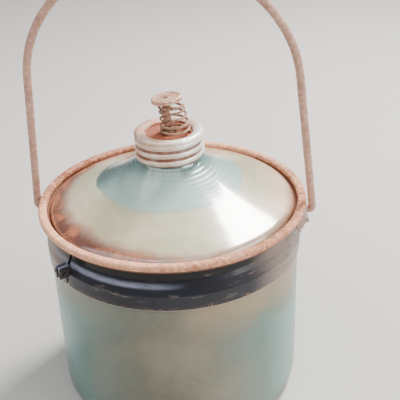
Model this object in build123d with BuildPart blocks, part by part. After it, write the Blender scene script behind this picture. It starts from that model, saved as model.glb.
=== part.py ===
"""Glass stove-fuel bottle with a steel collar, a swinging bail and a screw cap with a push valve.

Millimetres. The origin is the centre of the base, +Z is up, -Y is the front,
and the bail turns about an axis along X.
"""

import os
from math import cos, degrees, radians, sin, tan

from build123d import *

# ---------------------------------------------------------------- driving dimensions

# Glass
RIM_Z = 135.0            # top of the rolled ring above the base
BODY_R = 80.5
WALL = 3.6
HEEL_R = 10.0
KICK_R = 58.0            # edge of the shallow hollow under the base
KICK_H = 1.6
FLOOR_Z = 5.6            # inside of the base
SHOULDER_Z = RIM_Z - 33.0
GROOVE_R = 76.2
GROOVE_LOW_Z = RIM_Z - 15.0
GROOVE_TOP_Z = RIM_Z - 8.5
EDGE_R = 77.8            # widest line of the dome, just inside the ring
EDGE_Z = RIM_Z - 3.6
DOME_R = 45.0            # a point half way up the dome
DOME_Z = RIM_Z + 11.0
NECK_R = 18.9
NECK_FOOT_Z = RIM_Z + 29.2
FLARE_R = 4.0            # the curve from the neck into the dome, and how far it turns
FLARE_TURN = 52.0
DOME_NORMAL = (0.42, 0.91)       # outward direction of the dome's skin at that half-way point
BROW_NORMAL = (0.6, 0.95)        # the same where the dome rolls over to its edge, taken a little long
BROW_IN = 3.6                    # how far inside and above the edge the dome starts to roll over
BROW_UP = 3.0
NECK_TOP_Z = RIM_Z + 42.6
LIP_ROUND = 1.2

# Screw thread shared by the neck and the cap
PITCH = 5.0
THREAD_FRONT_Z = RIM_Z + 30.4    # height of the lowest full thread at the front
NECK_RIDGE_R = 0.9               # radius of the glass ridge's round section
NECK_RIDGE_AT = 19.55            # radius at which that section is centred
CAP_RIDGE_R = 1.9                # the same two sizes for the rolled ridge of the cap
CAP_RIDGE_AT = 19.7
NECK_THREAD_LOW = 4.0            # bare neck below and above the glass thread
NECK_THREAD_HIGH = 3.2

# Collar: sheet-steel band, rolled ring, clamp
SHEET = 0.9
BAND_FIT = 0.05                  # gap left between the band and what is soldered to it
BAND_LOW_Z = RIM_Z - 31.5
BAND_LOW_R = 81.35               # mid-sheet radius of the skirt
BEAD_Z = RIM_Z - 17.0
BEAD_OUT = 2.6                   # how far the bead stands out from the glass groove
GROOVE_FIT = 0.95                # mid-sheet distance from the glass in the groove
SKIRT_H = 9.0                    # straight part of the skirt
BEND_R = 1.0
FLANGE_IN = 1.6                  # flange under the ring: its edge inside the ring's outer edge,
FLANGE_ROOT = 2.2                # its root outside the glass groove, and the slope below it
FLANGE_SLOPE_H = 2.4
BEAD_SLOPE_H = 3.0               # slope between the groove and the bead
RING_OUT_R = 85.0
RING_IN_R = 79.6
RING_H = 4.3
RING_ROUND = 1.9
RING_CUT = 0.7
SPLIT_AZ = -138.7                # where the ring is split at the front
CLAMP_AZ = -135.0                # where the band is split and clamped
RIGHT_JOINT_AZ = 1.7
LEFT_JOINT_AZ = -170.0
SPLIT_GAP = 2.4
LUG_T = 1.1
LUG_REACH = 5.8
LUG_ROOT = 0.8                   # how far a lug runs into the band
LUG_ROUND = 2.2
LUG_H = 8.0
LUG_Z = RIM_Z - 20.5

# Clamp screw and its square nut
SCREW_R = 1.4
SCREW_OUT = 3.2                  # screw's axis outside the skirt
SCREW_TIP = 1.2                  # thread that shows past the nut
HOLE_FIT = 0.15
SCREW_HEAD_R = 2.8
SCREW_HEAD_H = 1.9
SCREW_HEAD_ROUND = 0.9
SCREW_SLOT = 0.8
SLOT_TURN = 25.0
CLAMP_NUT_SIDE = 5.4
CLAMP_NUT_H = 2.2
CLAMP_NUT_TURN = 12.0
CLAMP_NUT_BEVEL = 0.4
TIGHT = 0.04                     # gap left between a thread or spigot and its hole

# Bail and its ears
PIVOT_Z = RIM_Z - 10.0
PIVOT_HALF = 89.2                # half the distance between the wire's two legs
WIRE_R = 2.4
PIN_END = 82.8
ELBOW_R = 2.7
LEG_LEAN = 6.6                   # degrees that each leg leans inward
BAIL_RISE = 165.0                # wire centre at the top, measured from the pivot
BAIL_TILT = 10.0                 # degrees that the bail stands forward of upright
EAR_FACE = 85.5
EAR_ROOT = 79.0
EAR_FOOT = (19.0, 25.0, 5.0)     # width, height and corner radius where it meets the band
EAR_FOOT_Z = BAND_LOW_Z + 12.9
EAR_TOP = (10.5, 12.0, 4.0)      # the same at its face
EAR_TOP_DROP = 1.9               # centre of the face below the pivot
EAR_LIP_R = 1.7                  # rounded lip under the wire
EAR_LIP_L = 6.0
EAR_LIP_DROP = 6.6
EAR_STEP_FIT = 0.2               # gap above the skirt's top edge where the ear is hollowed over it
PIN_CLEARANCE = 0.08
PIN_END_GAP = 0.5

# Cap
TIN = 0.6
CAP_LOW_Z = RIM_Z + 28.3
SPARE_SKIRT = 6.0                # trimmed off once the threads are rolled
CAP_R = 20.5
CAP_THREAD_LOW = 3.0             # the cap's rolled thread runs this far below its edge,
CAP_THREAD_TOP = 2.7             # and stops this far under the crest
CAP_ROOM_LOW = 3.4               # the same two for the inside of that thread
CAP_ROOM_TOP = 3.6
CREST_R = 18.9
CREST_Z = RIM_Z + 45.1
SHOULDER_R = 21.5
SHOULDER_DROP = 2.3              # widest line of the roll below the crest
SKIRT_TOP_DROP = 4.2
PAN_R = 14.3
PAN_LIP = (0.5, 1.0)             # out and up from the pan's corner to the foot of the roll
PAN_Z = RIM_Z + 42.4
OUTLET_R = 4.4
SEAT_FLANGE = 1.1                # width and height of the ferrule's flange on the pan
SEAT_FLANGE_H = 0.5
GUIDE_HUB = 0.8
GUIDE_ARM_W = 1.1
GUIDE_ARM_SPARE = 1.0            # length of an arm that runs on into the hub and the ferrule
GUIDE_TURN = 30.0
GUIDE_UP = 0.4                   # underside of the guide above the ferrule's lower edge
SEAT_LOW_Z = RIM_Z + 39.6
GASKET_IN_R = 16.2
GASKET_OUT_R = 19.2
GASKET_H = 0.9
GASKET_GAP = 0.3
GASKET_ROUND = 0.3

# Push valve
STEM_R = 2.5
STEM_CLEARANCE = 0.06
TRAVEL = 5.0
BUTTON_R = 9.6
BUTTON_H = 2.7
BUTTON_X = -0.3
BUTTON_Z = RIM_Z + 64.4
BUTTON_TILT = 7.0
BUTTON_ROUND = 1.0
DISH_RIM = 1.9                   # the button's shallow dish: its rim's width, depth and slope
DISH_DEPTH = 0.35
DISH_SLOPE = 40.0
CROOK_X = -1.4                   # how far the bent stem stands to the left
CROOK_Z = RIM_Z + 56.5
STEM_BEND_R = 9.0
STEM_STRAIGHT = 1.5              # straight length of stem left above the pan when pushed in
STEM_TOP = (0.2, 1.2)            # right of and under the button's middle where the bent line ends
NECKING = 2.2                    # straight end of the stem under the button
TAIL_R = 1.5
TAIL_TIP = 0.4                   # riveted tail that shows above the button
TAIL_LOW_TIP = 0.9
SEAL_GAP = 0.05
WASHER_R = 7.6
WASHER_H = 1.5
WASHER_ROUND = 0.3
DISC_R = 7.2
DISC_H = 0.8
STEM_NUT_SIDE = 5.6
STEM_NUT_H = 2.2
STEM_NUT_BEVEL = 0.5
SPRING_WIRE_R = 0.75
SPRING_X = 2.6
SPRING_LOW_R = 8.9
SPRING_TOP_R = 7.2
SPRING_TURNS = 5.0
SPRING_FOOT_GAP = 0.1
SPRING_HEAD_GAP = 1.6


def outward(azimuth, radius=1.0, z=0.0):
    """A point at an azimuth in degrees, a radius and a height."""
    return Vector(radius * cos(radians(azimuth)), radius * sin(radians(azimuth)), z)


def tangential_plane(azimuth, radius, z):
    """A plane across the rim's direction, with local x outward and local y up."""
    return Plane(origin=outward(azimuth, radius, z), x_dir=outward(azimuth), z_dir=outward(azimuth - 90))


def thread(low_z, high_z, centre_r, section_r, mode=Mode.ADD):
    """A round bar wound along the common right-hand thread, joined to or cut from the open part."""
    with BuildLine(Plane.XY.offset(low_z)) as helix:
        Helix(pitch=PITCH, height=high_z - low_z, radius=centre_r)
    path = helix.line.rotate(Axis.Z, 360 * (low_z - THREAD_FRONT_Z) / PITCH - 90)
    with BuildSketch(Plane(origin=path @ 0, z_dir=path % 0)) as section:
        Circle(section_r)
    sweep(section.sketch, path=path, is_frenet=True, mode=mode)


# ---------------------------------------------------------------- glass jar


def jar_half(inset):
    """Half section inside the jar's outer skin, or inside its wall when the inset is the wall."""
    groove_r = GROOVE_R - inset
    body_r = BODY_R - inset
    heel_r = HEEL_R - inset
    floor_z = FLOOR_Z if inset else 0
    drop = BROW_NORMAL[0] * inset
    shoulder_mid = ((groove_r + body_r) / 2, (GROOVE_LOW_Z + SHOULDER_Z) / 2)
    with BuildSketch(Plane.XZ) as half:
        with BuildLine():
            neck = Polyline((0, NECK_TOP_Z), (NECK_R - inset, NECK_TOP_Z), (NECK_R - inset, NECK_FOOT_Z))
            flare = JernArc(neck @ 1, (0, -1), FLARE_R + inset, FLARE_TURN)
            dome_mid = (DOME_R - DOME_NORMAL[0] * inset, DOME_Z - DOME_NORMAL[1] * inset)
            upper = TangentArc(flare @ 1, dome_mid, tangent=flare % 1)
            brow_r = EDGE_R - BROW_IN - BROW_NORMAL[0] * inset
            brow = (brow_r, EDGE_Z + BROW_UP - BROW_NORMAL[1] * inset)
            lower = TangentArc(upper @ 1, brow, tangent=upper % 1)
            edge = TangentArc(lower @ 1, (EDGE_R - inset, EDGE_Z - drop), tangent=lower % 1)
            Polyline(edge @ 1, (groove_r, GROOVE_TOP_Z - drop), (groove_r, GROOVE_LOW_Z))
            upper_turn = TangentArc((groove_r, GROOVE_LOW_Z), shoulder_mid, tangent=(0, -1))
            TangentArc(shoulder_mid, (body_r, SHOULDER_Z), tangent=upper_turn % 1)
            Line((body_r, SHOULDER_Z), (body_r, floor_z + heel_r))
            RadiusArc((body_r, floor_z + heel_r), (body_r - heel_r, floor_z), heel_r)
            Polyline((body_r - heel_r, floor_z), (0, floor_z), (0, NECK_TOP_Z))
        make_face()
    return half.sketch


with BuildPart() as glass_jar:
    with BuildSketch(Plane.XZ):
        add(jar_half(0))
        add(jar_half(WALL), mode=Mode.SUBTRACT)
    revolve(axis=Axis.Z)
    fillet(glass_jar.edges().filter_by(GeomType.CIRCLE).group_by(Axis.Z)[-1], LIP_ROUND)
    kick_ball_r = (KICK_R**2 + KICK_H**2) / (2 * KICK_H)
    with Locations((0, 0, KICK_H - kick_ball_r)):
        Sphere(kick_ball_r, mode=Mode.SUBTRACT)
    thread(NECK_FOOT_Z + NECK_THREAD_LOW, NECK_TOP_Z - NECK_THREAD_HIGH, NECK_RIDGE_AT, NECK_RIDGE_R)

# ---------------------------------------------------------------- collar band, ring and clamp

FLANGE_Z = RIM_Z - RING_H - BAND_FIT - SHEET / 2
SKIRT_OUT_R = BAND_LOW_R + SHEET / 2
CLAMP_R = SKIRT_OUT_R + SCREW_OUT
LUG_TOP_R = SKIRT_OUT_R + LUG_REACH
LUG_FOOT_R = SKIRT_OUT_R - LUG_ROOT


def clamp_side(side):
    """Plane on the middle of one clamp lug: side is -1 for the front lug, +1 for the rear one."""
    return tangential_plane(CLAMP_AZ, 0, LUG_Z).offset(-side * (SPLIT_GAP + LUG_T) / 2)


with BuildPart() as collar_band:
    with BuildSketch(Plane.XZ):
        with BuildLine() as mid_sheet:
            FilletPolyline(
                (RING_OUT_R - FLANGE_IN, FLANGE_Z),
                (GROOVE_R + FLANGE_ROOT, FLANGE_Z),
                (GROOVE_R + GROOVE_FIT, FLANGE_Z - FLANGE_SLOPE_H),
                (GROOVE_R + GROOVE_FIT, BEAD_Z + BEAD_SLOPE_H),
                (GROOVE_R + BEAD_OUT, BEAD_Z),
                (BAND_LOW_R, BAND_LOW_Z + SKIRT_H),
                (BAND_LOW_R, BAND_LOW_Z),
                radius=BEND_R,
            )
        trace(line_width=SHEET)
    revolve(axis=Axis.Z)
    with BuildSketch(tangential_plane(CLAMP_AZ, 0, 0)):
        with Locations((BODY_R, BEAD_Z)):
            Rectangle(BODY_R / 2, BODY_R)
    extrude(amount=SPLIT_GAP / 2, both=True, mode=Mode.SUBTRACT)
    for side in (-1, 1):
        with BuildSketch(clamp_side(side)) as lug:
            with Locations(((LUG_FOOT_R + LUG_TOP_R) / 2, 0)):
                Rectangle(LUG_TOP_R - LUG_FOOT_R, LUG_H)
            fillet(lug.vertices().group_by(Axis((0, 0, 0), outward(CLAMP_AZ)))[-1], LUG_ROUND)
        extrude(amount=LUG_T / 2, both=True)
    with BuildSketch(tangential_plane(CLAMP_AZ, 0, LUG_Z)):
        with Locations((CLAMP_R, 0)):
            Circle(SCREW_R + HOLE_FIT)
    extrude(amount=SPLIT_GAP + 2 * LUG_T, both=True, mode=Mode.SUBTRACT)

with BuildPart() as clamp_screw:
    head_plane = clamp_side(-1).offset(LUG_T / 2)
    grip = SPLIT_GAP + 2 * LUG_T + CLAMP_NUT_H + SCREW_TIP
    with BuildSketch(head_plane):
        with Locations((CLAMP_R, 0)):
            Circle(SCREW_R)
    extrude(amount=-grip)
    with BuildSketch(head_plane):
        with Locations((CLAMP_R, 0)):
            Circle(SCREW_HEAD_R)
    extrude(amount=SCREW_HEAD_H)
    head_rim = clamp_screw.edges().filter_by(GeomType.CIRCLE).sort_by(Axis((0, 0, 0), head_plane.z_dir))[-1]
    fillet(head_rim, SCREW_HEAD_ROUND)
    with BuildSketch(head_plane.offset(SCREW_HEAD_H)):
        with Locations((CLAMP_R, 0)):
            Rectangle(3 * SCREW_HEAD_R, SCREW_SLOT, rotation=SLOT_TURN)
    extrude(amount=-SCREW_HEAD_H / 2, mode=Mode.SUBTRACT)

with BuildPart() as clamp_nut:
    with BuildSketch(clamp_side(1).offset(-LUG_T / 2)):
        with Locations((CLAMP_R, 0)):
            Rectangle(CLAMP_NUT_SIDE, CLAMP_NUT_SIDE, rotation=CLAMP_NUT_TURN)
            Circle(SCREW_R + TIGHT, mode=Mode.SUBTRACT)
    extrude(amount=-CLAMP_NUT_H)
    nut_corners = clamp_nut.edges().filter_by(Axis(origin=(0, 0, 0), direction=outward(CLAMP_AZ - 90)))
    chamfer(nut_corners, CLAMP_NUT_BEVEL)


def ring_piece(start_az, end_az):
    """One length of the rolled ring, with a sawn end at each azimuth."""
    cut = degrees(RING_CUT / 2 / BODY_R)
    with BuildPart() as piece:
        with BuildSketch(tangential_plane(start_az + cut, 0, 0)):
            with Locations(((RING_OUT_R + RING_IN_R) / 2, RIM_Z - RING_H / 2)):
                RectangleRounded(RING_OUT_R - RING_IN_R, RING_H, RING_ROUND)
        revolve(axis=Axis.Z, revolution_arc=end_az - start_az - 2 * cut)
    return piece


rim_ring_front = ring_piece(SPLIT_AZ, RIGHT_JOINT_AZ)
rim_ring_back = ring_piece(RIGHT_JOINT_AZ, LEFT_JOINT_AZ + 360)
rim_ring_left = ring_piece(LEFT_JOINT_AZ, SPLIT_AZ)

# ---------------------------------------------------------------- bail and its ears


def bail_ear(side):
    """Pressed ear at one end of the pivot axis: side is +1 on the right, -1 on the left."""
    root = Plane.YZ.offset(EAR_ROOT) if side > 0 else Plane.YZ.offset(-EAR_ROOT)
    face = Plane.YZ.offset(side * EAR_FACE)
    with BuildPart() as ear:
        with BuildSketch(root):
            with Locations((0, EAR_FOOT_Z)):
                RectangleRounded(*EAR_FOOT)
        with BuildSketch(face):
            with Locations((0, PIVOT_Z - EAR_TOP_DROP)):
                RectangleRounded(*EAR_TOP)
        loft()
        with Locations((side * EAR_FACE, 0, PIVOT_Z - EAR_LIP_DROP)):
            Cylinder(EAR_LIP_R, EAR_LIP_L, rotation=(90, 0, 0))
        with BuildSketch(Plane.XZ):
            with BuildLine():
                Polyline(
                    (0, 0),
                    (SKIRT_OUT_R + BAND_FIT, 0),
                    (SKIRT_OUT_R + BAND_FIT, BAND_LOW_Z + SKIRT_H + EAR_STEP_FIT),
                    (GROOVE_R + BEAD_OUT + SHEET, BEAD_Z),
                    (GROOVE_R + BEAD_OUT + SHEET, RIM_Z),
                    (0, RIM_Z),
                    close=True,
                )
            make_face()
        revolve(axis=Axis.Z, mode=Mode.SUBTRACT)
        with BuildSketch(face):
            with Locations((0, PIVOT_Z)):
                Circle(WIRE_R + PIN_CLEARANCE)
        extrude(amount=-side * (EAR_FACE - PIN_END + PIN_END_GAP), mode=Mode.SUBTRACT)
    return ear


bail_ear_right = bail_ear(1)
bail_ear_left = bail_ear(-1)

lean = radians(LEG_LEAN)
LEG_TOP = (BAIL_RISE * cos(lean) - PIVOT_HALF * (1 - sin(lean))) / (cos(lean) - tan(lean) * (1 - sin(lean)))
LEG_TOP_X = PIVOT_HALF - LEG_TOP * tan(lean)
tilt = radians(BAIL_TILT)
bail_plane = Plane(origin=(0, 0, PIVOT_Z), x_dir=(1, 0, 0), z_dir=(0, -cos(tilt), -sin(tilt)))

with BuildPart() as bail:
    with BuildLine(bail_plane) as wire:
        FilletPolyline((-PIN_END, 0), (-PIVOT_HALF, 0), (-LEG_TOP_X, LEG_TOP), radius=ELBOW_R)
        ThreePointArc((-LEG_TOP_X, LEG_TOP), (0, BAIL_RISE), (LEG_TOP_X, LEG_TOP))
        FilletPolyline((LEG_TOP_X, LEG_TOP), (PIVOT_HALF, 0), (PIN_END, 0), radius=ELBOW_R)
    with BuildSketch(Plane(origin=wire.wire() @ 0, z_dir=wire.wire() % 0)):
        Circle(WIRE_R)
    sweep(path=wire.wire())

# ---------------------------------------------------------------- cap


def cap_half(inset):
    """Half section inside the cap's outer skin, or inside its sheet, with a spare length of skirt."""
    skin_r = CAP_R - inset
    foot_z = CAP_LOW_Z - SPARE_SKIRT - 2 * inset
    pan_lip = (PAN_R + PAN_LIP[0] + inset, PAN_Z + PAN_LIP[1])
    shoulder = (SHOULDER_R - inset, CREST_Z - SHOULDER_DROP)
    skirt_top = (skin_r, CREST_Z - SKIRT_TOP_DROP)
    with BuildSketch(Plane.XZ) as half:
        with BuildLine():
            Polyline((0, PAN_Z - inset), (0, foot_z), (skin_r, foot_z), skirt_top, shoulder)
            roll = TangentArc(shoulder, (CREST_R, CREST_Z - inset), tangent=(0, 1))
            TangentArc(roll @ 1, pan_lip, tangent=(-1, 0))
            Polyline(pan_lip, (PAN_R + inset, PAN_Z - inset), (0, PAN_Z - inset))
        make_face()
    return half.sketch


with BuildPart() as cap_room:
    add(cap_half(TIN))
    revolve(axis=Axis.Z)
    thread(CAP_LOW_Z - CAP_ROOM_LOW, CREST_Z - CAP_ROOM_TOP, CAP_RIDGE_AT, CAP_RIDGE_R - TIN)

with BuildPart() as cap_shell:
    add(cap_half(0))
    revolve(axis=Axis.Z)
    thread(CAP_LOW_Z - CAP_THREAD_LOW, CREST_Z - CAP_THREAD_TOP, CAP_RIDGE_AT, CAP_RIDGE_R)
    with BuildSketch(Plane.XY.offset(CAP_LOW_Z)):
        Circle(2 * CAP_R)
    extrude(amount=-2 * SPARE_SKIRT, mode=Mode.SUBTRACT)
    add(cap_room.part, mode=Mode.SUBTRACT)
    with BuildSketch(Plane.XY.offset(PAN_Z)):
        Circle(OUTLET_R + TIN)
    extrude(amount=2 * TIN, both=True, mode=Mode.SUBTRACT)

with BuildPart() as valve_seat:
    with BuildSketch(Plane.XZ):
        with BuildLine():
            Polyline(
                (OUTLET_R, SEAT_LOW_Z),
                (OUTLET_R + TIN - TIGHT, SEAT_LOW_Z),
                (OUTLET_R + TIN - TIGHT, PAN_Z + TIGHT),
                (OUTLET_R + SEAT_FLANGE, PAN_Z + TIGHT),
                (OUTLET_R + SEAT_FLANGE, PAN_Z + SEAT_FLANGE_H),
                (OUTLET_R, PAN_Z + SEAT_FLANGE_H),
                close=True,
            )
        make_face()
    revolve(axis=Axis.Z)

with BuildPart() as valve_guide:
    with BuildSketch(Plane.XY.offset(SEAT_LOW_Z + GUIDE_UP)):
        Circle(STEM_R + STEM_CLEARANCE + GUIDE_HUB)
        with PolarLocations(radius=(STEM_R + OUTLET_R) / 2, count=3, start_angle=GUIDE_TURN):
            Rectangle(OUTLET_R - STEM_R + GUIDE_ARM_SPARE, GUIDE_ARM_W)
        Circle(OUTLET_R - TIGHT, mode=Mode.INTERSECT)
        Circle(STEM_R + STEM_CLEARANCE, mode=Mode.SUBTRACT)
    extrude(amount=PAN_Z - SEAT_LOW_Z - GUIDE_UP)

with BuildPart() as cap_gasket:
    with BuildSketch(Plane.XY.offset(NECK_TOP_Z + GASKET_GAP)):
        Circle(GASKET_OUT_R)
        Circle(GASKET_IN_R, mode=Mode.SUBTRACT)
    extrude(amount=GASKET_H)
    fillet(cap_gasket.edges(), GASKET_ROUND)

# ---------------------------------------------------------------- push valve

button_plane = Plane(
    origin=(BUTTON_X, 0, BUTTON_Z),
    x_dir=(cos(radians(BUTTON_TILT)), 0, sin(radians(BUTTON_TILT))),
    z_dir=(-sin(radians(BUTTON_TILT)), 0, cos(radians(BUTTON_TILT))),
)
under_button = button_plane.offset(-BUTTON_H / 2)
washer_top_z = SEAT_LOW_Z - SEAL_GAP
disc_top_z = washer_top_z - WASHER_H
nut_top_z = disc_top_z - DISC_H

with BuildPart() as push_button:
    with BuildSketch(under_button):
        Circle(BUTTON_R)
        Circle(TAIL_R + TIGHT, mode=Mode.SUBTRACT)
    extrude(amount=BUTTON_H)
    rims = push_button.edges().filter_by(GeomType.CIRCLE).sort_by(SortBy.RADIUS)[-2:]
    fillet(rims, BUTTON_ROUND)
    with BuildSketch(under_button.offset(BUTTON_H)):
        Circle(BUTTON_R - DISH_RIM)
    extrude(amount=-DISH_DEPTH, taper=DISH_SLOPE, mode=Mode.SUBTRACT)

with BuildPart() as valve_stem:
    with BuildLine(Plane.XZ) as stem_line:
        FilletPolyline(
            (0, washer_top_z),
            (0, PAN_Z + TRAVEL + STEM_STRAIGHT),
            (CROOK_X, CROOK_Z),
            (BUTTON_X + STEM_TOP[0], BUTTON_Z - BUTTON_H / 2 - STEM_TOP[1]),
            radius=STEM_BEND_R,
        )
    with BuildSketch(Plane.XY.offset(washer_top_z)):
        Circle(STEM_R)
    sweep(path=stem_line.line)
    with BuildSketch(under_button):
        Circle(STEM_R)
    extrude(amount=-NECKING)
    with BuildSketch(under_button):
        Circle(TAIL_R)
    extrude(amount=BUTTON_H + TAIL_TIP)
    with BuildSketch(Plane.XY.offset(washer_top_z)):
        Circle(TAIL_R)
    extrude(amount=-(WASHER_H + DISC_H + STEM_NUT_H + TAIL_LOW_TIP))

with BuildPart() as valve_washer:
    with BuildSketch(Plane.XY.offset(washer_top_z)):
        Circle(WASHER_R)
        Circle(TAIL_R + TIGHT, mode=Mode.SUBTRACT)
    extrude(amount=-WASHER_H)
    fillet(valve_washer.edges().filter_by(GeomType.CIRCLE).sort_by(SortBy.RADIUS)[-2:], WASHER_ROUND)

with BuildPart() as valve_disc:
    with BuildSketch(Plane.XY.offset(disc_top_z)):
        Circle(DISC_R)
        Circle(TAIL_R + TIGHT, mode=Mode.SUBTRACT)
    extrude(amount=-DISC_H)

with BuildPart() as stem_nut:
    with BuildSketch(Plane.XY.offset(nut_top_z)):
        Rectangle(STEM_NUT_SIDE, STEM_NUT_SIDE)
        Circle(TAIL_R + TIGHT, mode=Mode.SUBTRACT)
    extrude(amount=-STEM_NUT_H)
    chamfer(stem_nut.edges().filter_by(Axis.Z).filter_by(GeomType.LINE), STEM_NUT_BEVEL)

SPRING_LOW_Z = PAN_Z + SPRING_WIRE_R + SPRING_FOOT_GAP
SPRING_H = BUTTON_Z - BUTTON_H / 2 - SPRING_HEAD_GAP - SPRING_WIRE_R - SPRING_LOW_Z

with BuildPart() as valve_spring:
    spring_pitch = SPRING_H / SPRING_TURNS
    taper = -degrees((SPRING_LOW_R - SPRING_TOP_R) / SPRING_H)
    with BuildLine(Plane.XY.offset(SPRING_LOW_Z).move(Location((SPRING_X, 0, 0)))) as coil:
        Helix(pitch=spring_pitch, height=SPRING_H, radius=SPRING_LOW_R, cone_angle=taper)
    with BuildSketch(Plane(origin=coil.line @ 0, z_dir=coil.line % 0)):
        Circle(SPRING_WIRE_R)
    sweep(path=coil.line, is_frenet=True)

# ---------------------------------------------------------------- files

pieces = {
    "glass_jar": glass_jar,
    "collar_band": collar_band,
    "clamp_screw": clamp_screw,
    "clamp_nut": clamp_nut,
    "rim_ring_front": rim_ring_front,
    "rim_ring_back": rim_ring_back,
    "rim_ring_left": rim_ring_left,
    "bail_ear_right": bail_ear_right,
    "bail_ear_left": bail_ear_left,
    "bail": bail,
    "cap_shell": cap_shell,
    "cap_gasket": cap_gasket,
    "valve_seat": valve_seat,
    "valve_guide": valve_guide,
    "push_button": push_button,
    "valve_stem": valve_stem,
    "valve_washer": valve_washer,
    "valve_disc": valve_disc,
    "stem_nut": stem_nut,
    "valve_spring": valve_spring,
}

os.makedirs("parts", exist_ok=True)
for name, piece in pieces.items():
    piece.part.label = name
    export_step(piece.part, f"parts/{name}.step")
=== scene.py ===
from math import cos, radians, sin, tau

import bpy
from mathutils import Matrix, Vector


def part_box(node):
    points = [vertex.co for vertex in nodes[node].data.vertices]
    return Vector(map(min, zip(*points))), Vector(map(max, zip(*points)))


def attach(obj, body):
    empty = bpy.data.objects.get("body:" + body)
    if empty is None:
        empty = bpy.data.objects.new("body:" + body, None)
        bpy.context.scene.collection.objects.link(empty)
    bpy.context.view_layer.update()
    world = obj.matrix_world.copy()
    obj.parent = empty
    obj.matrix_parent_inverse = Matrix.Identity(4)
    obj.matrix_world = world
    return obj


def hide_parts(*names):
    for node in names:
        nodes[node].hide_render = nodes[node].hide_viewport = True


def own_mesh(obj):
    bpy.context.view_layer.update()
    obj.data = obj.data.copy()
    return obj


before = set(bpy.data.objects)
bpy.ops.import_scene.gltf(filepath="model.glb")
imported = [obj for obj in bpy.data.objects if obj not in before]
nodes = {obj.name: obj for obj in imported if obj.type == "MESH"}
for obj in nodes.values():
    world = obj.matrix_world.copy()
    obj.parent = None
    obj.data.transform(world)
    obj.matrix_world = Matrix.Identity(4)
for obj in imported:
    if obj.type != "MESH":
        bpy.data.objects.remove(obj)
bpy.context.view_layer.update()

# ---------------------------------------------------------------- the bottle's main sizes
MM = 0.001
BAND_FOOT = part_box("collar_band")[0][2]
RING_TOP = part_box("rim_ring_front")[1][2]
cap_low, cap_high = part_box("cap_shell")
spring_low, spring_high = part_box("valve_spring")
CAP_RADIUS = (cap_high[0] - cap_low[0]) / 2
CAP_TOP = cap_high[2]
PAN_RADIUS = 14.3 * MM  # the cap's sunken middle
BEAD_HEIGHT = RING_TOP - 17 * MM  # the bead between the collar's groove and its skirt

# ---------------------------------------------------------------- where the wear lies, and where light and shade are painted
# A side of the bottle is the azimuth in degrees that it faces, and how squarely a point has to
# face it, as a cosine, where the wear starts and where it is full.
CLEAR_BACK = (150, 0.35, 0.95)
RUSTY_LEFT = (-165, -0.15, 0.95)
GLOW_RIGHT = (4, 0.62, 0.98)
STAINED_FRONT = (-86, 0.52, 1.0)
AMBER_SHOULDER = (-42, 0.72, 0.95)
OLIVE_RIGHT = (-30, 0.2, 0.9)
RING_RIGHT = (-15, -0.3, 0.95)
RING_BACK_LEFT = (140, 0.4, 0.9)
SHEEN_RIGHT = (-15, 0.80, 1.0)
SHEEN_LEFT = (-165, 0.80, 0.97)
BEAD_HIGHLIGHT_SIDE = (-118, 0.75, 0.97)
CAP_RUSTY_LEFT = (165, 0.3, 0.95)
CAP_HIGHLIGHT_RIGHT = (-25, 0.45, 0.9)

# A span is two lengths in millimetres: where something starts and where it is full.
# On the dome, from the bottle's axis:
CREAM_SPAN = (43.5, 46)
HAZE_SPAN = (20, 30)
BLUSH_SPAN = (68, 84)
CRUST_SPAN = (71, 81)
GLOW_SPAN = (52, 70)
TURNS_SPAN = (30, 40)
NECK_RINGS_SPAN = (34, 23)
# From the ring's top:
DOME_SPAN = (-8, -4)
HIDDEN_TOP_SPAN = (-9, -10)
FLANGE_SPAN = (-7.5, -5.5)
# From the band's foot:
BODY_SPAN = (4, -2)
HIDDEN_FOOT_SPAN = (2, 4)
FOOT_RUST_SPAN = (4, 0)
# From the base, the body's belt of stain:
BELT_SPAN = (66, 98)
# From the bead, the painted highlight along it and the painted shade in the groove above it:
BEAD_SPAN = (2.2, 0.4)
GROOVE_SPAN = (1.5, 4)
# On the cap, from its outside, its top and the pan's edge:
SKIRT_SPAN = (-3.2, -2)
VALLEY_SPAN = (-0.5, -1.0)
CREST_SPAN = (-3, -4.2)
PAN_SPAN = (1.8, -0.2)


def srgb(red, green, blue):
    """A colour given as 0-255 screen values, in the linear values that the shaders take."""
    return tuple((c / 255 / 12.92) if c <= 10 else ((c / 255 + 0.055) / 1.055) ** 2.4
                 for c in (red, green, blue)) + (1.0,)


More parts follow.
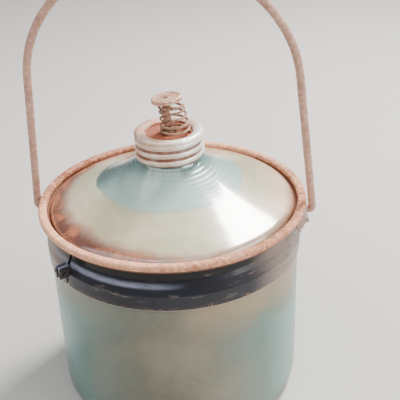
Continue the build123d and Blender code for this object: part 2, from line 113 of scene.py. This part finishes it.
# ---------------------------------------------------------------- building materials
class Look:
    """One procedural material: a Principled shader and the nodes that drive its sockets."""

    def __init__(self, name, **constants):
        self.material = bpy.data.materials.new(name)
        self.material.use_nodes = True
        self.tree = self.material.node_tree
        self.shader = self.tree.nodes["Principled BSDF"]
        self.place = self.node("TexCoord").outputs["Object"]
        parts = self.node("SeparateXYZ", {0: self.place})
        self.x, self.y, self.z = parts.outputs
        for socket, value in constants.items():
            self.shader.inputs[socket.replace("_", " ").title().replace("Ior", "IOR")].default_value = value

    def node(self, kind, inputs=None, **settings):
        made = self.tree.nodes.new("ShaderNode" + kind)
        for key, value in settings.items():
            setattr(made, key, value)
        for key, value in (inputs or {}).items():
            self.feed(made.inputs[key], value)
        return made

    def feed(self, socket, value):
        if isinstance(value, bpy.types.NodeSocket):
            self.tree.links.new(value, socket)
        else:
            socket.default_value = value

    def maths(self, operation, first, second=0.0, clamp=False):
        made = self.node("Math", {0: first, 1: second}, operation=operation, use_clamp=clamp)
        return made.outputs[0]

    def plus(self, first, second):
        return self.maths("ADD", first, second)

    def times(self, first, second):
        return self.maths("MULTIPLY", first, second)

    def inverse(self, value):
        return self.maths("SUBTRACT", 1.0, value, clamp=True)

    def most(self, first, second):
        return self.maths("MAXIMUM", first, second)

    def step(self, value, start, end, low=0.0, high=1.0):
        """low before start, high after end, with a smooth rise between them."""
        made = self.node("MapRange", {"Value": value, "From Min": start, "From Max": end,
                                      "To Min": low, "To Max": high}, interpolation_type="SMOOTHSTEP")
        return made.outputs[0]

    def zone(self, value, span, low=0.0, high=1.0, start=0.0):
        """The same for a length, over a span of millimetres from start."""
        return self.step(value, start + span[0] * MM, start + span[1] * MM, low, high)

    def side(self, which, low=0.0, high=1.0, sway=None):
        """The same for how squarely a point faces one side of the bottle."""
        azimuth, start, full = which
        facing = self.towards(radians(azimuth))
        if sway is not None:
            facing = self.plus(facing, sway)
        return self.step(facing, start, full, low, high)

    def near(self, height, span):
        """1 close to a height, 0 away from it."""
        return self.zone(self.maths("ABSOLUTE", self.plus(self.z, -height)), span)

    def centred(self, noise, width=1.0):
        """Noise moved to lie about 0, and scaled by width."""
        return self.times(self.plus(noise, -0.5), width)

    def stretched(self, stretch, shift=(0, 0, 0)):
        made = self.node("Mapping", {"Vector": self.place, "Location": shift, "Scale": stretch})
        return made.outputs[0]

    def noise(self, scale, detail=3.0, rough=0.55, stretch=None, shift=(0, 0, 0), warp=0.0):
        """Clouds of that many per metre, about 0.5 in the middle."""
        vector = self.stretched(stretch or (1, 1, 1), shift)
        made = self.node("TexNoise", {"Vector": vector, "Scale": scale, "Detail": detail,
                                      "Roughness": rough, "Distortion": warp})
        return made.outputs[0]

    def spots(self, scale, radius, stretch=None, shift=(0, 0, 0)):
        """1 in small scattered round spots, about scale of them in a metre."""
        vector = self.stretched(stretch or (1, 1, 1), shift)
        made = self.node("TexVoronoi", {"Vector": vector, "Scale": scale})
        return self.step(made.outputs["Distance"], radius, radius * 0.5)

    def radius(self):
        """Distance from the bottle's axis."""
        squares = self.plus(self.times(self.x, self.x), self.times(self.y, self.y))
        return self.maths("SQRT", squares)

    def towards(self, azimuth):
        """1 on the side of the bottle that faces azimuth, falling to -1 on the far side."""
        across = self.plus(self.times(self.x, cos(azimuth)), self.times(self.y, sin(azimuth)))
        return self.maths("DIVIDE", across, self.most(self.radius(), MM))

    def mix(self, share, first, second):
        made = self.node("Mix", data_type="RGBA")
        for socket, value in ((0, share), (6, first), (7, second)):
            self.feed(made.inputs[socket], value)
        return made.outputs[2]

    def level(self, share, first, second):
        """A number that goes from first to second as share goes from 0 to 1."""
        return self.node("MapRange", {"Value": share, "To Min": first, "To Max": second}).outputs[0]

    def wear(self, height, depth, after=None):
        """A bump of that depth in metres. It lies on another bump if after is given."""
        inputs = {"Height": height, "Distance": depth, "Strength": 1.0}
        if after is not None:
            inputs["Normal"] = after
        return self.node("Bump", inputs).outputs[0]

    def drive(self, **sockets):
        for socket, value in sockets.items():
            self.feed(self.shader.inputs[socket.replace("_", " ").title()], value)
        return self.material

    def layer(self, colour, coats):
        """A base colour with coats laid over it in order, each a share and its colour."""
        for share, over in coats:
            colour = self.mix(share, colour, over)
        return colour

    def thickest(self, *films):
        """The largest of several values."""
        film = films[0]
        for other in films[1:]:
            film = self.most(film, other)
        return film


# ---------------------------------------------------------------- glass
FILM_WANDER = 8 * MM  # how far the edge of the cream film strays
FILM_DRAWN_IN = 4 * MM  # it lies this much further out behind on the left
BLUSH_DRAWN_IN, CRUST_DRAWN_IN = 11 * MM, 9 * MM  # the rose tint and the rust reach further in on the left
CRUST_WANDER = 12 * MM
BELT_WANDER = 30 * MM
HIGHLIGHT_LINE_DROP, HIGHLIGHT_LINE_SPAN = 0.9 * MM, (0.9, 0.3)  # a painted highlight line just under the band
NECK_RING_PITCH = 2.6 * MM
HAZE_MOST, HAZE_LEAST, HAZE_AT_NECK = 0.62, 0.05, 0.35
WALL_TINT, WALL_DENSITY = (0.42, 0.82, 0.82, 1.0), 95.0  # what the glass lets through, for a metre
RIPPLE_DEPTH, POLISH_DEPTH, SEED_DEPTH = 0.6 * MM, 0.3 * MM, 0.15 * MM
TURN_DEPTH, NECK_RING_DEPTH = 0.07 * MM, 0.14 * MM


def dome_wear(look, cloud, fine, streaks):
    """What lies on the dome, and the painted warm glow on its right, as shares from 0 to 1."""
    radius = look.radius()
    on_dome = look.zone(look.z, DOME_SPAN, start=RING_TOP)
    behind_left = look.side(CLEAR_BACK)
    left_side = look.side(RUSTY_LEFT)

    # the cream film stops at a sharp line round the neck, and the clear glass inside it is hazy
    film_edge = look.plus(radius, look.centred(cloud, FILM_WANDER))
    neck_side = look.plus(film_edge, look.times(behind_left, -FILM_DRAWN_IN))
    cream = look.times(on_dome, look.zone(neck_side, CREAM_SPAN))
    haze = look.times(look.times(on_dome, look.level(behind_left, HAZE_MOST, HAZE_LEAST)),
                      look.zone(radius, HAZE_SPAN, low=HAZE_AT_NECK))

    # a rose tint and a crust of rust lie along the dome's edge, mostly on the left
    blush_reach = look.plus(film_edge, look.times(left_side, BLUSH_DRAWN_IN))
    blush = look.times(on_dome, look.zone(blush_reach, BLUSH_SPAN, high=0.85))
    crust_reach = look.plus(look.plus(radius, look.times(left_side, CRUST_DRAWN_IN)),
                            look.centred(streaks, CRUST_WANDER))
    crust = look.times(on_dome, look.zone(crust_reach, CRUST_SPAN))
    # a painted warm glow on the dome's right, beside the window light's highlight
    warm_glow = look.times(look.side(GLOW_RIGHT), look.zone(radius, GLOW_SPAN))
    warm_glow = look.times(warm_glow, on_dome)
    film = look.thickest(look.times(cream, look.level(fine, 0.60, 0.88)), haze,
                         look.times(blush, 0.8), crust)
    return on_dome, cream, haze, blush, crust, warm_glow, film


def body_wear(look, cloud, fine):
    """What lies on the body below the band, and the painted glints and highlight line on it, as shares from
    0 to 1.
    """
    below_band = look.zone(look.z, BODY_SPAN, start=BAND_FOOT)

    # a tan stain: broad in front, in a ragged belt under the band, and in patches elsewhere
    front = look.side(STAINED_FRONT, sway=look.centred(cloud, 0.25))
    belt = look.zone(look.plus(look.z, look.centred(cloud, BELT_WANDER)), BELT_SPAN)
    amber = look.times(look.times(look.side(AMBER_SHOULDER), belt), below_band)
    patches = look.step(look.noise(11, detail=4, rough=0.5, shift=(0.4, 0.1, 0.3)), 0.45, 0.75)
    stain = look.thickest(front, look.times(belt, 0.9), look.times(patches, 0.45))
    tan = look.times(below_band, look.times(stain, look.level(fine, 0.8, 1.0)))
    bloom = look.times(below_band, look.level(cloud, 0.08, 0.44))

    # groups of pale flecks painted as glints, and a painted highlight line just under the band
    glint_flecks = look.times(look.spots(230, 0.14, stretch=(1, 1, 3), shift=(0.3, 0.2, 0.1)),
                        look.step(look.noise(26, detail=2, shift=(0.7, 0.3, 0.9)), 0.57, 0.64))
    glint_flecks = look.times(glint_flecks, below_band)
    highlight_line = look.times(look.near(BAND_FOOT - HIGHLIGHT_LINE_DROP, HIGHLIGHT_LINE_SPAN), look.level(cloud, 0.2, 1.0))
    film = look.thickest(look.times(tan, 0.74), bloom, look.times(glint_flecks, 0.7), look.times(highlight_line, 0.8))
    return below_band, tan, bloom, amber, glint_flecks, highlight_line, film


def pressing_marks(look, on_dome):
    """The glass's own unevenness: one bump for its skin, and a gentler one for its polish."""
    radius = look.radius()
    ripples = look.noise(38, detail=1, stretch=(1, 1, 0.45), warp=0.6)
    turns = look.node("TexWave", {"Vector": look.place, "Scale": 34.0, "Distortion": 7.0, "Detail": 3.0,
                                  "Detail Scale": 0.6}, wave_type="RINGS", rings_direction="Z").outputs[1]
    turns = look.times(turns, look.times(on_dome, look.zone(radius, TURNS_SPAN)))
    neck_rings = look.maths("SINE", look.times(radius, tau / NECK_RING_PITCH))
    near_neck = look.times(look.zone(radius, NECK_RINGS_SPAN, low=0.10), on_dome)
    seeds = look.spots(420, 0.16, stretch=(1, 1, 0.6))
    skin = look.wear(seeds, -SEED_DEPTH, look.wear(ripples, RIPPLE_DEPTH))
    skin = look.wear(turns, TURN_DEPTH, skin)
    skin = look.wear(look.times(neck_rings, near_neck), NECK_RING_DEPTH, skin)
    return skin, look.wear(ripples, POLISH_DEPTH)


def jar_glass():
    """Old aqua glass, clear round the neck and behind, under dried fuel, rust and dust elsewhere, with
    painted glints, a painted highlight line, a painted warm glow and painted shade under the band.
    """
    look = Look("jar_glass", roughness=0.05, ior=1.5, coat_roughness=0.13, coat_ior=1.9)
    cloud = look.noise(24, detail=4)
    fine = look.noise(150, detail=5, rough=0.65)
    streaks = look.noise(90, detail=5, rough=0.7, stretch=(1, 1, 0.3))
    on_dome, cream, haze, blush, crust, warm_glow, dome_film = dome_wear(look, cloud, fine, streaks)
    below_band, tan, bloom, amber, glint_flecks, highlight_line, body_film = body_wear(look, cloud, fine)
    # the glass hidden under the band is painted black and opaque: painted shade
    shade_under_band = look.times(look.zone(look.z, HIDDEN_FOOT_SPAN, start=BAND_FOOT),
                              look.zone(look.z, HIDDEN_TOP_SPAN, start=RING_TOP))
    film = look.thickest(dome_film, body_film, shade_under_band)

    clear, milky, amber_oil, glow_peach = (srgb(186, 236, 230), srgb(206, 226, 214), srgb(196, 168, 134),
                                            srgb(255, 216, 184))
    glint_white, highlight_line_white, black = srgb(206, 220, 200), srgb(232, 226, 206), srgb(30, 26, 26)
    bloom_teal = look.mix(look.side(OLIVE_RIGHT), srgb(98, 168, 178), srgb(136, 154, 130))
    dried_tan = look.mix(look.step(cloud, 0.4, 0.62), srgb(128, 112, 88), srgb(150, 136, 112))
    dried_cream = look.mix(look.step(cloud, 0.35, 0.65), srgb(200, 196, 156), srgb(226, 216, 182))
    rose = look.mix(fine, srgb(228, 186, 162), srgb(240, 208, 190))
    rust_brown = look.mix(look.step(streaks, 0.42, 0.6), srgb(92, 46, 26), srgb(164, 96, 64))
    colour = look.layer(clear, (
        (haze, milky),
        (bloom, bloom_teal),
        (tan, dried_tan),
        (look.times(amber, 0.8), amber_oil),
        (cream, dried_cream),
        # the painted warm glow
        (look.times(warm_glow, 0.9), glow_peach),
        (blush, rose),
        (crust, rust_brown),
        # painted glints and a painted highlight line
        (glint_flecks, glint_white),
        (highlight_line, highlight_line_white),
        # painted shade under the band
        (shade_under_band, black),
    ))

    skin, polish = pressing_marks(look, on_dome)
    absorb = look.node("VolumeAbsorption", {"Color": WALL_TINT, "Density": WALL_DENSITY})
    output = look.tree.nodes["Material Output"]
    look.tree.links.new(absorb.outputs[0], output.inputs["Volume"])
    dusty = look.most(look.level(film, 0.03, 0.50), look.times(below_band, 0.30))
    return look.drive(base_color=colour, transmission_weight=look.level(film, 1.0, 0.0), roughness=dusty,
                      normal=skin, coat_weight=look.level(on_dome, 0.12, 1.0), coat_normal=polish)


# ---------------------------------------------------------------- metals
def rusted(name, pale, deep, contrast=1.0, scale=1.0, is_ring=False):
    """Rusted steel: powdery and pale on top, deeper in its pits."""
    look = Look(name, specular_ior_level=0.35)
    blotch = look.noise(60 * scale, detail=5, rough=0.6)
    grain = look.noise(1100 * scale, detail=6, rough=0.7)
    pits = look.step(look.noise(420 * scale, detail=5, rough=0.65), 0.40, 0.64)
    share = look.plus(look.centred(blotch, 1.4 * contrast), look.centred(pits, 0.5 * contrast))
    share = look.plus(share, 0.62)  # most of it is pale
    if is_ring:
        # paler away from the ring's right, darker on its right, and much darker towards its back left
        share = look.plus(share, look.side(RING_RIGHT, 0.18, -0.12))
        share = look.plus(share, look.side(RING_BACK_LEFT, 0.0, -0.5))
    powder = look.times(look.step(grain, 0.55, 0.75), 0.5)
    colour = look.layer(deep, ((look.step(share, 0.0, 1.0), pale), (powder, pale)))
    normal = look.wear(grain, 0.2 * MM, look.wear(pits, 0.3 * MM, look.wear(blotch, 1.2 * MM)))
    return look.drive(base_color=colour, roughness=look.level(pits, 0.8, 0.55), normal=normal)


def black_steel():
    """Black japanned sheet with painted shade in its groove, a painted grey sheen at the sides mixed with
    scuffs, a painted highlight along its bead, and rust at its foot.
    """
    look = Look("black_steel", coat_weight=0.3, coat_roughness=0.15, specular_ior_level=0.3)
    scuffs = look.noise(60, detail=6, rough=0.7, stretch=(1, 1, 6))
    grain = look.noise(700, detail=5, rough=0.7)
    # the sides are painted a pale grey sheen, broken up by scuffs; the scuffs elsewhere are wear
    side_sheen = look.most(look.side(SHEEN_RIGHT), look.side(SHEEN_LEFT))
    scuffs_and_sheen = look.most(look.times(look.step(scuffs, 0.56, 0.72), 0.5),
                     look.times(side_sheen, look.step(scuffs, 0.25, 0.5)))
    # a painted highlight along the bead, and painted shade in the groove above it
    bead_highlight = look.times(look.near(BEAD_HEIGHT, BEAD_SPAN), look.side(BEAD_HIGHLIGHT_SIDE))
    shaded_groove = look.zone(look.z, GROOVE_SPAN, start=BEAD_HEIGHT)
    flange = look.zone(look.z, FLANGE_SPAN, start=RING_TOP)
    near_foot = look.zone(look.z, FOOT_RUST_SPAN, start=BAND_FOOT)
    foot_rust = look.times(look.step(look.plus(grain, look.times(near_foot, 0.12)), 0.62, 0.75), near_foot)

    paint = look.mix(look.noise(30, detail=3), srgb(14, 15, 24), srgb(34, 36, 50))
    groove_shade_black, scuff_and_sheen_grey, bead_highlight_blue = srgb(14, 12, 14), srgb(158, 140, 130), srgb(150, 156, 178)
    rust_brown = look.mix(grain, srgb(92, 56, 40), srgb(156, 108, 84))
    # the groove's painted shade, the scuffs and painted sheen, the bead's painted highlight, then rust
    colour = look.layer(paint, (
        (shaded_groove, groove_shade_black),
        (look.times(scuffs_and_sheen, 0.85), scuff_and_sheen_grey),
        (look.times(bead_highlight, look.step(scuffs, 0.3, 0.6, 0.35, 0.9)), bead_highlight_blue),
        (look.most(foot_rust, flange), rust_brown),
    ))
    normal = look.wear(grain, 0.08 * MM, look.wear(scuffs, 0.25 * MM))
    return look.drive(base_color=colour, metallic=look.level(scuffs_and_sheen, 0.0, 0.3),
                      roughness=look.level(look.most(scuffs, shaded_groove), 0.26, 0.7), normal=normal)


def cap_tin():
    """Worn tinned sheet: pinkish, with a painted highlight on its right, painted shade and rust in the
    valleys between the ridges, rusty in the pan.
    """
    look = Look("cap_tin")
    radius = look.radius()
    blotch = look.noise(110, detail=4, rough=0.6)
    grain = look.noise(1200, detail=5, rough=0.7)
    on_skirt = look.zone(look.z, CREST_SPAN, start=CAP_TOP)
    outside = look.times(look.zone(radius, SKIRT_SPAN, start=CAP_RADIUS), on_skirt)
    valley = look.times(look.zone(radius, VALLEY_SPAN, start=CAP_RADIUS), outside)
    in_pan = look.zone(look.plus(radius, look.centred(blotch, 4 * MM)), PAN_SPAN, start=PAN_RADIUS)
    left_rim = look.times(look.side(CAP_RUSTY_LEFT), look.inverse(on_skirt))
    spots = look.step(look.noise(260, detail=4, rough=0.7, shift=(0.2, 0, 0)), 0.6, 0.72)
    rust = look.thickest(in_pan, look.times(left_rim, 0.7), look.times(spots, 0.3),
                         look.times(valley, look.step(blotch, 0.35, 0.65, 0.9, 0.5)))

    tin = look.mix(look.step(blotch, 0.35, 0.65), srgb(232, 194, 176), srgb(255, 238, 220))
    highlight_tin, shadow = srgb(255, 252, 240), srgb(84, 60, 56)
    rust_brown = look.mix(look.step(grain, 0.4, 0.65), srgb(122, 62, 40), srgb(190, 112, 78))
    # a painted highlight on the right, then rust, then painted shade in the valleys
    colour = look.layer(tin, (
        (look.side(CAP_HIGHLIGHT_RIGHT), highlight_tin),
        (rust, rust_brown),
        (look.times(valley, 0.4), shadow),
    ))
    normal = look.wear(grain, 0.06 * MM, look.wear(blotch, 0.5 * MM))
    return look.drive(base_color=colour, metallic=look.level(rust, 0.30, 0.05),
                      roughness=look.level(rust, 0.28, 0.75), normal=normal)


def plain_metal(name, bright, dull, metallic, rough, scale=400):
    """Small turned or pressed metal, tarnished in patches."""
    look = Look(name)
    patch = look.noise(scale, detail=5, rough=0.65)
    grain = look.noise(scale * 4, detail=4)
    share = look.step(patch, 0.4, 0.6)
    return look.drive(base_color=look.mix(share, dull, bright),
                      metallic=look.level(share, metallic * 0.5, metallic),
                      roughness=look.level(share, min(rough + 0.25, 1.0), rough),
                      normal=look.wear(grain, 0.08 * MM))


def soft_seal(name, pale, deep, scale):
    """Cork or leather: matt, granular and uneven."""
    look = Look(name, specular_ior_level=0.2)
    granules = look.node("TexVoronoi", {"Vector": look.place, "Scale": scale}).outputs["Distance"]
    share = look.plus(look.times(granules, 0.6), look.times(look.noise(scale, detail=4), 0.5))
    return look.drive(base_color=look.mix(share, deep, pale), roughness=look.level(share, 0.95, 0.75),
                      normal=look.wear(granules, 0.3 * MM))


rust_ring = rusted("rusty_steel", srgb(255, 190, 152), srgb(150, 88, 62), contrast=0.7, is_ring=True)
rust_ear = rusted("rusty_ears", srgb(222, 196, 184), srgb(146, 112, 96), contrast=0.7)
rust_bail = rusted("bail_steel", srgb(226, 182, 164), srgb(158, 112, 92), contrast=0.6)
rust_valve = rusted("valve_rust", srgb(204, 162, 136), srgb(96, 62, 46), scale=1.6)
button_tin = plain_metal("button_tin", srgb(228, 188, 164), srgb(168, 122, 100), 0.5, 0.42, scale=160)
valve_steel = plain_metal("valve_steel", srgb(170, 150, 136), srgb(110, 80, 62), 0.7, 0.45)
valve_brass = plain_metal("valve_brass", srgb(150, 112, 76), srgb(76, 54, 40), 0.6, 0.5)
fasteners = plain_metal("fastener_steel", srgb(86, 84, 88), srgb(52, 44, 42), 0.6, 0.5)

looks = {
    "glass_jar": jar_glass(),
    "collar_band": black_steel(),
    "clamp_screw": fasteners,
    "clamp_nut": fasteners,
    "rim_ring_front": rust_ring,
    "rim_ring_back": rust_ring,
    "rim_ring_left": rust_ring,
    "bail_ear_right": rust_ear,
    "bail_ear_left": rust_ear,
    "bail": rust_bail,
    "cap_shell": cap_tin(),
    "cap_gasket": soft_seal("gasket_cork", srgb(176, 134, 92), srgb(110, 74, 46), 900),
    "valve_seat": valve_brass,
    "valve_guide": valve_brass,
    "push_button": button_tin,
    "valve_stem": rust_valve,
    "valve_washer": soft_seal("washer_leather", srgb(104, 72, 50), srgb(56, 38, 28), 1400),
    "valve_disc": valve_steel,
    "stem_nut": valve_steel,
}
for node_name, material in looks.items():
    nodes[node_name].data.materials.clear()
    nodes[node_name].data.materials.append(material)


# ---------------------------------------------------------------- the valve's bent spring
WIRE = 0.75 * MM
TURNS = 5.0
BASE_COIL, TOP_COIL = 8.9 * MM, 7.2 * MM
BASE_SHIFT, BOW, TOP_SHIFT = 4.2 * MM, 3.9 * MM, 2.1 * MM  # the spring stands off centre and bows
CLOSING = 0.35  # how much closer the coils lie at both ends


def spring_line(steps):
    """The wire's centre line: a cone of coils about a bowed axis, with closed ends."""
    low, high = spring_low[2] + WIRE, spring_high[2] - WIRE
    line = []
    for i in range(steps + 1):
        share = i / steps
        rise = share - sin(share * tau) / tau * CLOSING
        turn = share * TURNS * tau
        fall = 1 - rise
        middle = fall ** 2 * BASE_SHIFT + 2 * rise * fall * BOW + rise ** 2 * TOP_SHIFT
        coil = BASE_COIL + (TOP_COIL - BASE_COIL) * rise
        line.append(Vector((middle + coil * cos(turn), coil * sin(turn), low + (high - low) * rise)))
    return line


def tube(name, line, wire_radius, sides=14):
    """A closed round tube along a line of points, its section turned as little as possible."""
    verts, faces = [], []
    side = Vector((0, 0, 1))
    for i, point in enumerate(line):
        ahead = (line[min(i + 1, len(line) - 1)] - line[max(i - 1, 0)]).normalized()
        side = (side - ahead * side.dot(ahead)).normalized()
        other = ahead.cross(side)
        for k in range(sides):
            angle = tau * k / sides
            verts.append(point + (side * cos(angle) + other * sin(angle)) * wire_radius)
    for i in range(len(line) - 1):
        for k in range(sides):
            a, b = i * sides + k, i * sides + (k + 1) % sides
            faces.append((a, b, b + sides, a + sides))
    last = (len(line) - 1) * sides
    faces.append(tuple(reversed(range(sides))))
    faces.append(tuple(range(last, last + sides)))
    mesh = bpy.data.meshes.new(name)
    mesh.from_pydata(verts, [], faces)
    mesh.polygons.foreach_set("use_smooth", [True] * len(faces))
    piece = bpy.data.objects.new(name, mesh)
    bpy.context.scene.collection.objects.link(piece)
    return piece


spring = tube("bent_spring", spring_line(steps=480), WIRE)
spring.data.materials.append(rust_valve)
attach(spring, "cap")
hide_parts("valve_spring")
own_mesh(spring)


# ---------------------------------------------------------------- floor, light and camera
def pale_floor():
    """A wide matt sheet of pale paper."""
    half = 6.0
    corners = [(-half, -half, 0), (half, -half, 0), (half, half, 0), (-half, half, 0)]
    mesh = bpy.data.meshes.new("floor")
    mesh.from_pydata(corners, [], [(0, 1, 2, 3)])
    floor = bpy.data.objects.new("floor", mesh)
    bpy.context.scene.collection.objects.link(floor)
    look = Look("floor_paper", specular_ior_level=0.2)
    grain = look.noise(300, detail=4)
    paper = look.mix(grain, srgb(188, 186, 182), srgb(198, 196, 192))
    mesh.materials.append(look.drive(base_color=paper, roughness=look.level(grain, 0.7, 0.8)))


def softbox(name, azimuth, elevation, distance, size, power, colour):
    """A rectangular area light that faces the ring's middle. size is its width and height."""
    azimuth, elevation = radians(azimuth), radians(elevation)
    centre = Vector((0, 0, RING_TOP))
    out = Vector((cos(azimuth) * cos(elevation), sin(azimuth) * cos(elevation), sin(elevation)))
    light = bpy.data.lights.new(name, "AREA")
    light.shape, light.energy, light.color = "RECTANGLE", power, colour
    light.size, light.size_y = size
    lamp = bpy.data.objects.new(name, light)
    lamp.location = centre + out * distance
    lamp.rotation_euler = out.to_track_quat("Z", "Y").to_euler()
    bpy.context.scene.collection.objects.link(lamp)


def room_light(strength, colour):
    world = bpy.data.worlds.new("studio")
    world.use_nodes = True
    background = world.node_tree.nodes["Background"]
    background.inputs["Color"].default_value = colour
    background.inputs["Strength"].default_value = strength
    bpy.context.scene.world = world


SENSOR, LENS = 36.0, 68.33
CAMERA_PLACE = (0.05975, -0.42512, 0.36258)
CAMERA_TURN, CAMERA_LOOKS_DOWN, CAMERA_ROLL = 5.66, 28.510, -2.116  # degrees


def photo_camera():
    """A camera above the front of the bottle that looks down on its shoulder."""
    lens = bpy.data.cameras.new("camera")
    lens.sensor_width = SENSOR
    lens.lens = LENS
    camera = bpy.data.objects.new("camera", lens)
    turn = Matrix.Rotation(radians(CAMERA_TURN), 4, "Z")
    tilt = Matrix.Rotation(radians(90 - CAMERA_LOOKS_DOWN), 4, "X")
    roll = Matrix.Rotation(radians(CAMERA_ROLL), 4, "Z")
    camera.matrix_world = Matrix.Translation(CAMERA_PLACE) @ turn @ tilt @ roll
    bpy.context.scene.collection.objects.link(camera)
    bpy.context.scene.camera = camera


WHITE, WARM = (1.0, 1.0, 1.0), (1.0, 0.97, 0.93)
lights = (  # azimuth and elevation in degrees, distance, width and height in metres, watts
    ("window", 57, 50, 1.3, (0.30, 0.48), 42, WARM),
    ("side", -14, 30, 1.3, (0.9, 0.8), 17, WARM),
    ("fill", -150, 50, 1.6, (1.4, 1.4), 13, WHITE),
    ("front", -75, 62, 1.6, (1.2, 1.2), 9, WHITE),
)

pale_floor()
for light in lights:
    softbox(*light)
room_light(0.38, srgb(225, 228, 232))
photo_camera()
